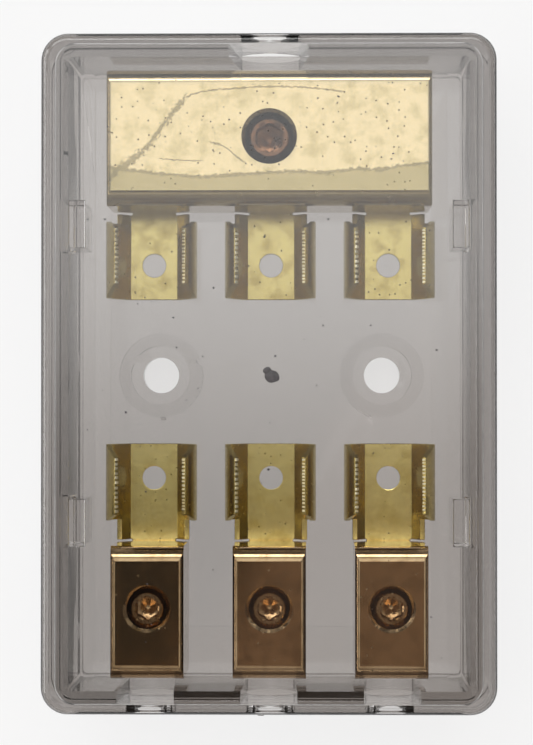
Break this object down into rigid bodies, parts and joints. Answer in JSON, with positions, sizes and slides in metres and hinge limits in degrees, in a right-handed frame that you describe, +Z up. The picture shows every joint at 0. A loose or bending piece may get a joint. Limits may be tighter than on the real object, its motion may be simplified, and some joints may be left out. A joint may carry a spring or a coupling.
{
  "type": "power distribution block",
  "caption": "Clear plastic case with a lift-off cover, brass terminal blocks with set screws, and spring clips for cartridge fuses that feed the output wires from a supply wire.",
  "frame": {"origin": "centre of the mounting face, under the middle of the base", "axes": "+X across the fuses, +Y along them towards the input end, +Z up from the mounting face to the cover"},
  "size_m": [0.0552, 0.0826, 0.025],
  "materials": {
    "clear_case": "clear moulded plastic, slightly smoky",
    "input_gold": "gold plated, polished, lightly scuffed",
    "output_gold": "gold plated, polished",
    "clip_gold": "gold plated sheet, bright",
    "bronze_screw": "darkened plating",
    "gold_screw": "gold plated",
    "plated_steel": "zinc plated"
  },
  "bodies": {
    "base": {"base": "clear_case", "input_block": "input_gold", "output_block_left": "output_gold", "output_block_middle": "output_gold", "output_block_right": "output_gold", "input_clip_left": "clip_gold", "input_clip_middle": "clip_gold", "input_clip_right": "clip_gold", "output_clip_left": "clip_gold", "output_clip_middle": "clip_gold", "output_clip_right": "clip_gold", "input_fixing_screw_left": "plated_steel", "input_fixing_screw_middle": "plated_steel", "input_fixing_screw_right": "plated_steel", "output_fixing_screw_left": "plated_steel", "output_fixing_screw_middle": "plated_steel", "output_fixing_screw_right": "plated_steel"},
    "cover": {"cover": "clear_case"},
    "input_set_screw": {"input_set_screw": "bronze_screw"},
    "output_set_screw_left": {"output_set_screw_left": "gold_screw"},
    "output_set_screw_middle": {"output_set_screw_middle": "gold_screw"},
    "output_set_screw_right": {"output_set_screw_right": "gold_screw"}
  },
  "joints": [
    {"name": "cover_lift", "type": "slide", "parent": "base", "child": "cover", "axis": [0, 0, 1], "range_m": [0, 0.03]},
    {"name": "input_screw_travel", "type": "slide", "parent": "base", "child": "input_set_screw", "axis": [0, 0, 1], "range_m": [-0.0048, 0.002]},
    {"name": "output_screw_travel_left", "type": "slide", "parent": "base", "child": "output_set_screw_left", "axis": [0, 0, 1], "range_m": [-0.0042, 0.0008]},
    {"name": "output_screw_travel_middle", "type": "slide", "parent": "base", "child": "output_set_screw_middle", "axis": [0, 0, 1], "range_m": [-0.0042, 0.0008]},
    {"name": "output_screw_travel_right", "type": "slide", "parent": "base", "child": "output_set_screw_right", "axis": [0, 0, 1], "range_m": [-0.0042, 0.0008]}
  ]
}
